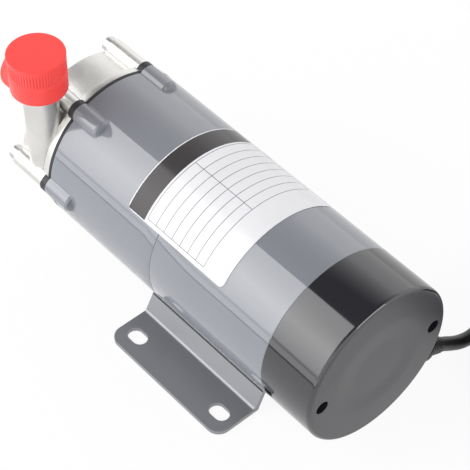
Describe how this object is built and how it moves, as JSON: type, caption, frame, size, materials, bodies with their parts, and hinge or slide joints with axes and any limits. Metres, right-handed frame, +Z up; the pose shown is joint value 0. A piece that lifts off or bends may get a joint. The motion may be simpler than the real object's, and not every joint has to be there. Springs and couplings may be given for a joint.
{
  "type": "magnetic drive pump",
  "caption": "Magnetic drive pump: round grey motor body with a black rear cover, stainless volute head, threaded ports under red caps, slotted base and mains cable.",
  "frame": {"origin": "centre of the four base slots, on the underside of the base plate", "axes": "+X along the shaft from the inlet to the motor's rear, +Z up from the bench, -Y the side of the outlet"},
  "size_m": [0.3126, 0.1924, 0.1088],
  "materials": {
    "stainless_cast": "cast and bead blasted",
    "steel_fastener": "plain",
    "black_plastic": "moulded",
    "seal_rubber": "matte",
    "ceramic_white": "ground ceramic",
    "grey_paint": "gloss",
    "electrical_steel": "laminated",
    "copper_wire": "enamelled",
    "bearing_steel": "ground",
    "cast_aluminium": "cast",
    "pale_plastic": "moulded",
    "cover_black": "gloss sides, satin end",
    "cable_black": "satin",
    "plug_brass": "nickel plated",
    "base_paint": "satin",
    "label_film": "printed film",
    "magnet_grey": "sintered",
    "cap_red": "moulded"
  },
  "bodies": {
    "pump": {"pump_head": "stainless_cast", "head_bolts": "steel_fastener", "rear_casing": "black_plastic", "casing_o_ring": "seal_rubber", "impeller_spindle": "ceramic_white", "thrust_rings": "ceramic_white", "front_housing": "grey_paint", "motor_shell": "grey_paint", "stator_core": "electrical_steel", "stator_windings": "copper_wire", "bearing_outer_rings": "bearing_steel", "rear_end_plate": "cast_aluminium", "wave_washer": "bearing_steel", "run_capacitor": "pale_plastic", "terminal_block": "pale_plastic", "rear_cover": "cover_black", "rear_cover_screws": "steel_fastener", "cable_gland": "cable_black", "cable": "cable_black", "cable_coil": "cable_black", "cable_tail": "cable_black", "plug_body": "cable_black", "plug_pins": "plug_brass", "base_plate": "base_paint", "base_screws": "steel_fastener", "label": "label_film"},
    "motor_rotor": {"motor_shaft": "bearing_steel", "rotor_core": "electrical_steel", "rotor_end_rings": "cast_aluminium", "drive_cup": "electrical_steel", "drive_magnets": "magnet_grey", "cup_set_screw": "steel_fastener", "bearing_inner_rings": "bearing_steel", "bearing_balls": "bearing_steel"},
    "impeller_rotor": {"impeller": "black_plastic", "impeller_magnet": "magnet_grey", "impeller_bush": "black_plastic"},
    "outlet_closure": {"outlet_cap": "cap_red"},
    "inlet_closure": {"inlet_cap": "cap_red"}
  },
  "joints": [
    {"name": "rotor_spin", "type": "hinge", "parent": "pump", "child": "motor_rotor", "pos_m": [0, 0, 0.043], "axis": [1, 0, 0], "continuous": true},
    {"name": "impeller_spin", "type": "hinge", "parent": "pump", "child": "impeller_rotor", "pos_m": [-0.1, 0, 0.043], "axis": [1, 0, 0], "continuous": true},
    {"name": "outlet_cap_lift", "type": "slide", "parent": "pump", "child": "outlet_closure", "axis": [0, 0, 1], "range_m": [0, 0.03]},
    {"name": "inlet_cap_lift", "type": "slide", "parent": "pump", "child": "inlet_closure", "axis": [-1, 0, 0], "range_m": [0, 0.03]}
  ],
  "couplings": [
    {"joint": "impeller_spin", "follows": "rotor_spin", "ratio": 1}
  ]
}
